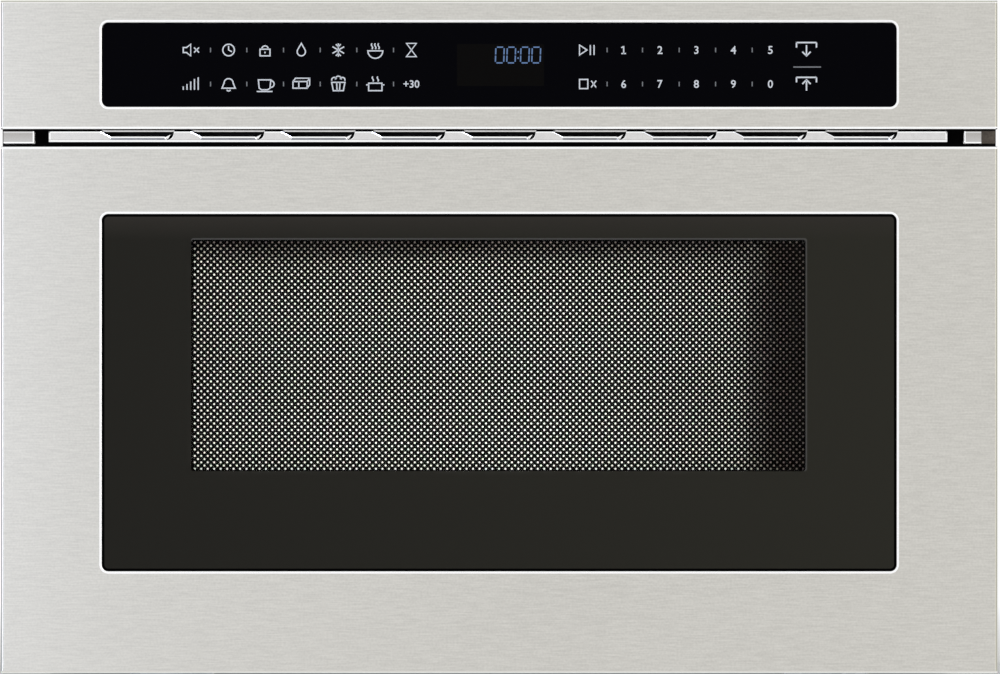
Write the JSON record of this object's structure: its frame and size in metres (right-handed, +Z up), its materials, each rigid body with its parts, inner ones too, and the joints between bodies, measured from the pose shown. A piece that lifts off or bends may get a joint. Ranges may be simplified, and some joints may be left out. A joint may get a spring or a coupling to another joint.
{
  "type": "microwave drawer",
  "caption": "Built-in microwave drawer with a motor-driven sliding oven drawer, perforated window, touch control fascia and louvred air outlet.",
  "frame": {"origin": "on the floor plane under the middle of the whole unit, at the underside of the base runners", "axes": "+X to the user's right, +Y to the back of the cabinet, +Z up; the fronts face -Y"},
  "size_m": [0.607, 0.59, 0.4125],
  "materials": {
    "stainless": "brushed",
    "galvanised": "satin",
    "frame_enamel": "satin",
    "vent_strip": "satin",
    "cavity_enamel": "satin",
    "plated_steel": "satin",
    "waveguide_metal": "satin",
    "mica": "matte",
    "black_glass": "gloss",
    "window_glass": "gloss",
    "black_plastic": "matte",
    "box_plastic": "satin",
    "ceramic": "gloss",
    "rubber": "matte",
    "acetal": "satin",
    "motor_steel": "satin",
    "copper": "satin",
    "can_aluminium": "satin",
    "circuit_board": "satin",
    "lamp_glass": "gloss"
  },
  "bodies": {
    "cabinet": {"base_pan": "galvanised", "side_panel_left": "galvanised", "side_panel_right": "galvanised", "top_cover": "galvanised", "rear_panel": "galvanised", "cord_gland": "black_plastic", "front_frame": "frame_enamel", "cavity_floor": "cavity_enamel", "cavity_ceiling": "cavity_enamel", "cavity_side_left": "cavity_enamel", "cavity_side_right": "cavity_enamel", "cavity_rear": "cavity_enamel", "waveguide": "waveguide_metal", "waveguide_cover": "mica", "stirrer_motor": "motor_steel", "magnetron": "waveguide_metal", "transformer_core": "motor_steel", "transformer_windings": "copper", "hv_capacitor": "can_aluminium", "power_board": "circuit_board", "fan_shroud": "black_plastic", "fan_motor": "motor_steel", "air_duct": "black_plastic", "vent_louver": "vent_strip", "control_fascia": "stainless", "touch_glass": "black_glass", "panel_housing": "black_plastic", "control_board": "circuit_board", "fascia_brackets": "galvanised", "bumper_pad": "rubber", "slide_outer_rails": "plated_steel", "slide_brackets": "galvanised", "drive_gearmotor": "motor_steel", "interlock_switches": "black_plastic", "lamp_holder": "waveguide_metal", "oven_lamp": "lamp_glass", "case_screws": "plated_steel"},
    "drawer": {"drawer_front_panel": "stainless", "door_glass": "window_glass", "door_frame": "frame_enamel", "window_screen": "frame_enamel", "choke_comb": "plated_steel", "choke_cover": "black_plastic", "drawer_side_left": "box_plastic", "drawer_side_right": "box_plastic", "drawer_back": "box_plastic", "drawer_tray": "box_plastic", "ceramic_plate": "ceramic", "slide_inner_rails": "plated_steel", "drawer_subframe": "galvanised", "rack": "acetal", "latch_hooks": "plated_steel"},
    "slide_mid_left": {"slide_mid_left": "plated_steel"},
    "slide_mid_right": {"slide_mid_right": "plated_steel"},
    "drive_pinion": {"drive_pinion": "acetal"},
    "cooling_fan": {"cooling_fan": "black_plastic"},
    "stirrer_fan": {"stirrer_fan": "waveguide_metal"},
    "interlock_plunger_left": {"interlock_plunger_left": "acetal"},
    "interlock_plunger_right": {"interlock_plunger_right": "acetal"}
  },
  "joints": [
    {"name": "drawer_slide", "type": "slide", "parent": "cabinet", "child": "drawer", "axis": [0, -1, 0], "range_m": [0, 0.38]},
    {"name": "rail_slide_left", "type": "slide", "parent": "cabinet", "child": "slide_mid_left", "axis": [0, -1, 0], "range_m": [0, 0.19]},
    {"name": "rail_slide_right", "type": "slide", "parent": "cabinet", "child": "slide_mid_right", "axis": [0, -1, 0], "range_m": [0, 0.19]},
    {"name": "pinion_spin", "type": "hinge", "parent": "cabinet", "child": "drive_pinion", "pos_m": [0.205, -0.222, 0.032], "axis": [1, 0, 0], "range_deg": [0, 1452]},
    {"name": "cooling_fan_spin", "type": "hinge", "parent": "cabinet", "child": "cooling_fan", "pos_m": [0.15, 0.235, 0.348], "axis": [0, 1, 0], "continuous": true},
    {"name": "stirrer_spin", "type": "hinge", "parent": "cabinet", "child": "stirrer_fan", "pos_m": [0, 0.02, 0.314], "axis": [0, 0, 1], "continuous": true},
    {"name": "plunger_press_left", "type": "slide", "parent": "cabinet", "child": "interlock_plunger_left", "axis": [0, 1, 0], "range_m": [0, 0.0015], "stiffness_N_per_m": 400, "springref_m": -0.002},
    {"name": "plunger_press_right", "type": "slide", "parent": "cabinet", "child": "interlock_plunger_right", "axis": [0, 1, 0], "range_m": [0, 0.0015], "stiffness_N_per_m": 400, "springref_m": -0.002}
  ],
  "couplings": [
    {"joint": "rail_slide_left", "follows": "drawer_slide", "ratio": 0.5},
    {"joint": "rail_slide_right", "follows": "drawer_slide", "ratio": 0.5},
    {"joint": "pinion_spin", "follows": "drawer_slide", "rad_per_m": 66.667}
  ]
}
